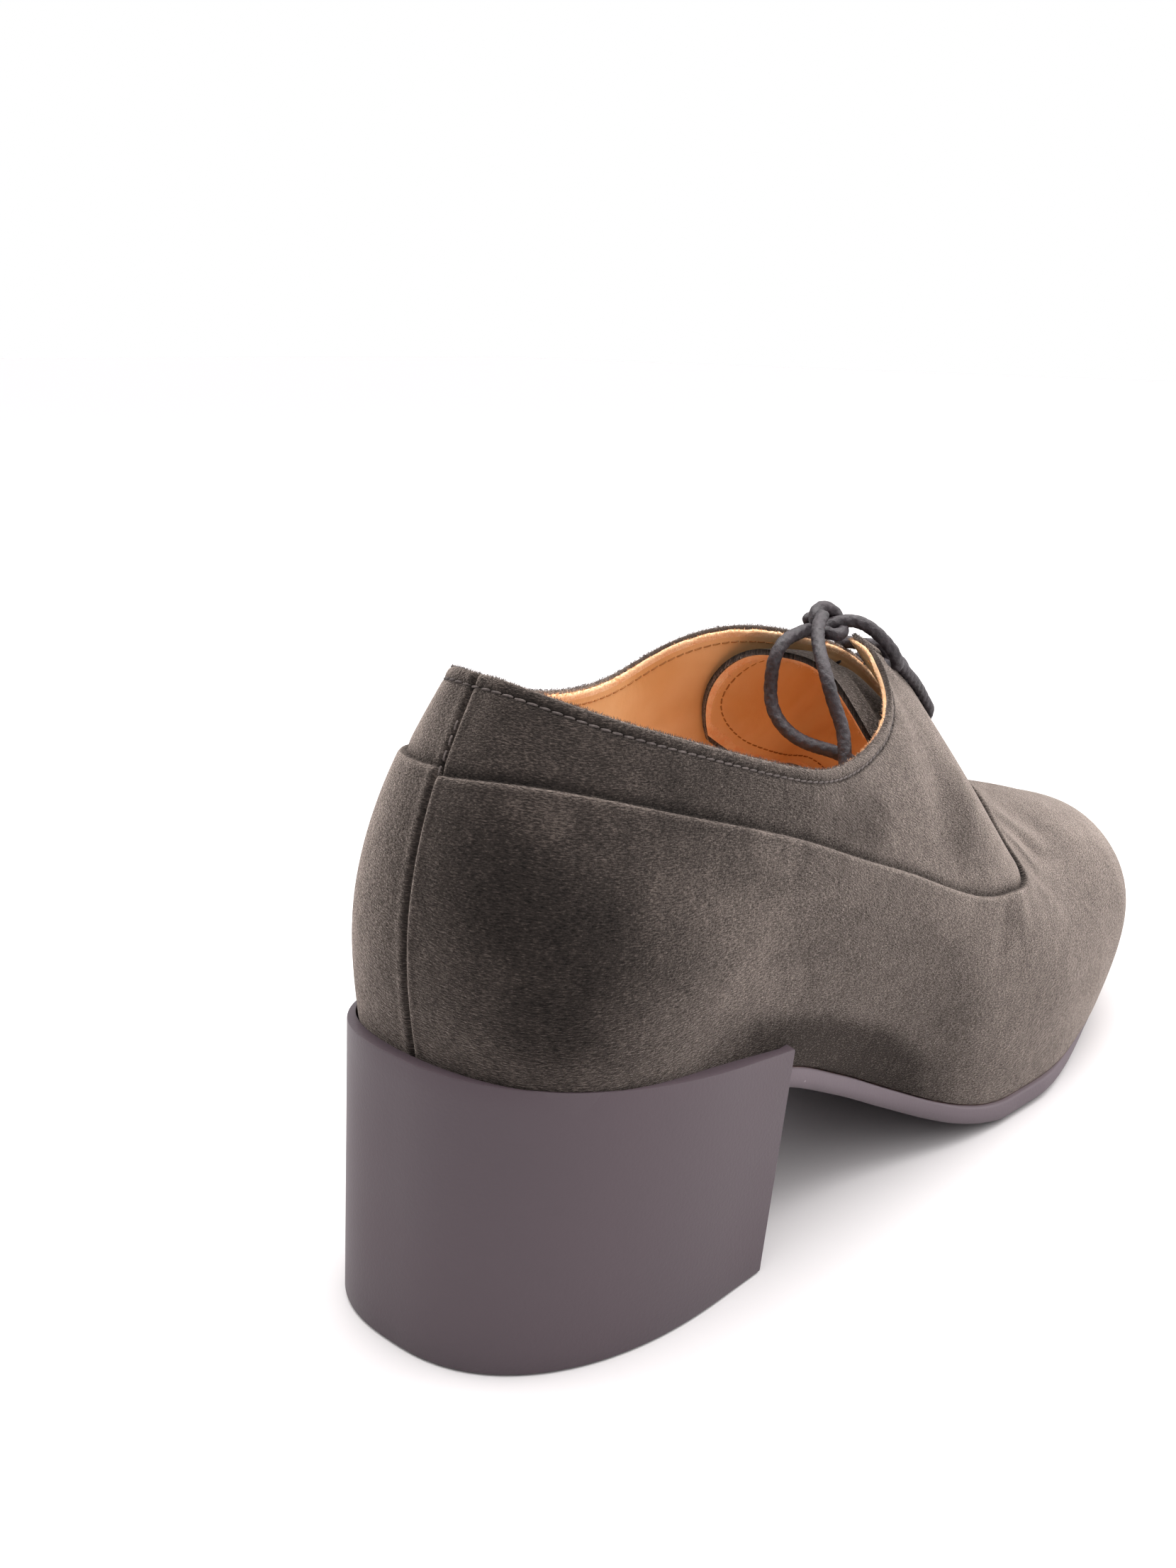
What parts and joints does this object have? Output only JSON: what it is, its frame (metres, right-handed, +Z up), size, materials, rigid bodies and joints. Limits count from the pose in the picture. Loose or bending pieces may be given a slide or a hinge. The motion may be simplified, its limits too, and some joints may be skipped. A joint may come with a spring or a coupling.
{
  "type": "lace-up shoe",
  "caption": "Suede galosh oxford for the right foot on a block heel: hollow upper with a stepped seam, sole with arch and toe spring, tongue, insole and a tied lace.",
  "frame": {"origin": "on the floor under the middle of the shoe's length and width", "axes": "+X from heel to toe, +Y to the inner (medial) side, +Z up"},
  "size_m": [0.2558, 0.0842, 0.116],
  "materials": {
    "suede": "brushed suede, dark olive-brown grey",
    "sole": "matte, dusty",
    "heel": "matte covered block, mauve grey",
    "lining": "smooth undyed lining leather",
    "lace": "waxed round braid"
  },
  "bodies": {
    "root": {"upper": "suede", "tongue": "suede", "outsole": "sole", "heel": "heel", "insole": "lining", "lace_crossings": "lace", "lace_knot": "lace", "lace_loop": "lace", "lace_strand": "lace"}
  },
  "joints": []
}
